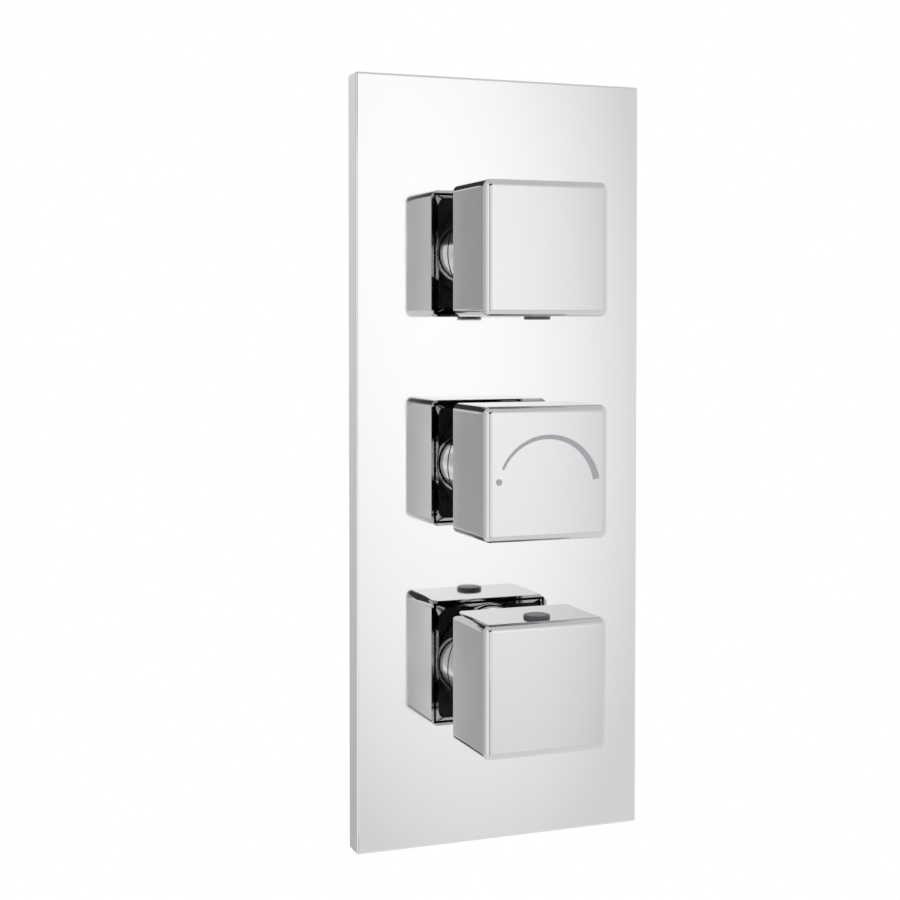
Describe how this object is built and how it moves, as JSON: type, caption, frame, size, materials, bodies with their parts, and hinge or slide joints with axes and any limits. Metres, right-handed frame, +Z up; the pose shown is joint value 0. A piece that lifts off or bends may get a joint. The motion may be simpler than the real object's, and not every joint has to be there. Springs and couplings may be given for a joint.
{
  "type": "thermostatic shower valve",
  "caption": "Concealed thermostatic shower valve with a tall chrome faceplate, square push-button knobs, and a brass body with screwed inlets and outlets.",
  "frame": {"origin": "middle of the faceplate's outline, in the plane of the finished wall that the plate's back touches", "axes": "+Z up along the faceplate, +Y into the wall, +X to the right of someone who faces the valve"},
  "size_m": [0.12, 0.117, 0.3],
  "materials": {
    "chrome": "polished chrome plate over brass or zinc",
    "black_plastic": "black moulded plastic, matt",
    "grey_plastic": "smooth dark-grey moulded plastic",
    "brass": "cast and machined brass",
    "copper_alloy": "drawn copper-alloy capsule",
    "zinc_steel": "zinc-plated pressed steel",
    "stainless": "stainless steel, drawn or turned",
    "rubber": "black rubber",
    "foam": "closed-cell black foam strip",
    "alumina": "lapped white alumina",
    "acetal": "off-white acetal"
  },
  "bodies": {
    "valve_body": {"face_plate": "chrome", "plate_gasket": "foam", "plate_hole_seals": "rubber", "upper_collar": "chrome", "middle_collar": "chrome", "lower_collar": "chrome", "collar_o_rings": "rubber", "bonnet_o_rings": "rubber", "stem_o_rings": "rubber", "thermostat_o_rings": "rubber", "valve_casting": "brass", "gallery_plug": "brass", "mounting_bracket": "zinc_steel", "bracket_screws": "zinc_steel", "upper_bonnet": "brass", "upper_fixed_disc": "alumina", "upper_base_seal": "rubber", "middle_bonnet": "brass", "middle_fixed_disc": "alumina", "middle_base_seal": "rubber", "thermostat_housing": "brass", "thermostat_nut": "brass", "spring_cage": "acetal", "cartridge_filters": "stainless", "temperature_stop_ring": "acetal", "flow_stop_ring": "acetal", "hot_check_body": "acetal", "cold_check_body": "acetal", "inlet_strainers": "stainless"},
    "upper_knob": {"upper_knob_shell": "chrome", "upper_knob_carrier": "black_plastic", "upper_grub_screw": "stainless", "upper_knob_screw": "stainless", "upper_spindle": "brass", "upper_turning_disc": "alumina"},
    "upper_stop_button": {"upper_button": "grey_plastic", "upper_button_spring": "stainless"},
    "middle_knob": {"middle_knob_shell": "chrome", "middle_knob_carrier": "black_plastic", "middle_grub_screw": "stainless", "middle_knob_screw": "stainless", "middle_spindle": "brass", "middle_turning_disc": "alumina"},
    "temperature_knob": {"temperature_knob_shell": "chrome", "temperature_knob_carrier": "black_plastic", "temperature_grub_screw": "stainless", "temperature_knob_screw": "stainless", "temperature_spindle": "brass"},
    "temperature_stop_button": {"temperature_button": "grey_plastic", "temperature_button_spring": "stainless"},
    "regulator": {"regulating_nut": "brass", "wax_element": "copper_alloy", "mixing_shuttle": "acetal", "return_spring": "stainless"},
    "hot_check_valve": {"hot_check_poppet": "acetal", "hot_check_spring": "stainless"},
    "cold_check_valve": {"cold_check_poppet": "acetal", "cold_check_spring": "stainless"}
  },
  "joints": [
    {"name": "upper_knob_turn", "type": "hinge", "parent": "valve_body", "child": "upper_knob", "pos_m": [0, 0, 0.082], "axis": [0, -1, 0], "range_deg": [0, 90]},
    {"name": "upper_button_press", "type": "slide", "parent": "upper_knob", "child": "upper_stop_button", "axis": [0, 0, 1], "range_m": [0, 0.001], "stiffness_N_per_m": 800, "springref_m": -0.001, "deforming": ["upper_button_spring"]},
    {"name": "middle_knob_turn", "type": "hinge", "parent": "valve_body", "child": "middle_knob", "pos_m": [0, 0, -0.001], "axis": [0, -1, 0], "range_deg": [0, 90]},
    {"name": "temperature_knob_turn", "type": "hinge", "parent": "valve_body", "child": "temperature_knob", "pos_m": [0, 0, -0.081], "axis": [0, -1, 0], "range_deg": [-160, 50]},
    {"name": "temperature_button_press", "type": "slide", "parent": "temperature_knob", "child": "temperature_stop_button", "axis": [0, 0, -1], "range_m": [0, 0.001], "stiffness_N_per_m": 800, "springref_m": -0.001, "deforming": ["temperature_button_spring"]},
    {"name": "regulator_slide", "type": "slide", "parent": "valve_body", "child": "regulator", "axis": [0, 1, 0], "range_m": [-0.00135, 0.00043], "deforming": ["return_spring"]},
    {"name": "hot_check_lift", "type": "slide", "parent": "valve_body", "child": "hot_check_valve", "axis": [1, 0, 0], "range_m": [0, 0.002], "stiffness_N_per_m": 100, "springref_m": -0.001, "deforming": ["hot_check_spring"]},
    {"name": "cold_check_lift", "type": "slide", "parent": "valve_body", "child": "cold_check_valve", "axis": [-1, 0, 0], "range_m": [0, 0.002], "stiffness_N_per_m": 100, "springref_m": -0.001, "deforming": ["cold_check_spring"]}
  ],
  "couplings": [
    {"joint": "regulator_slide", "follows": "temperature_knob_turn", "m_per_rad": 0.00047746}
  ]
}
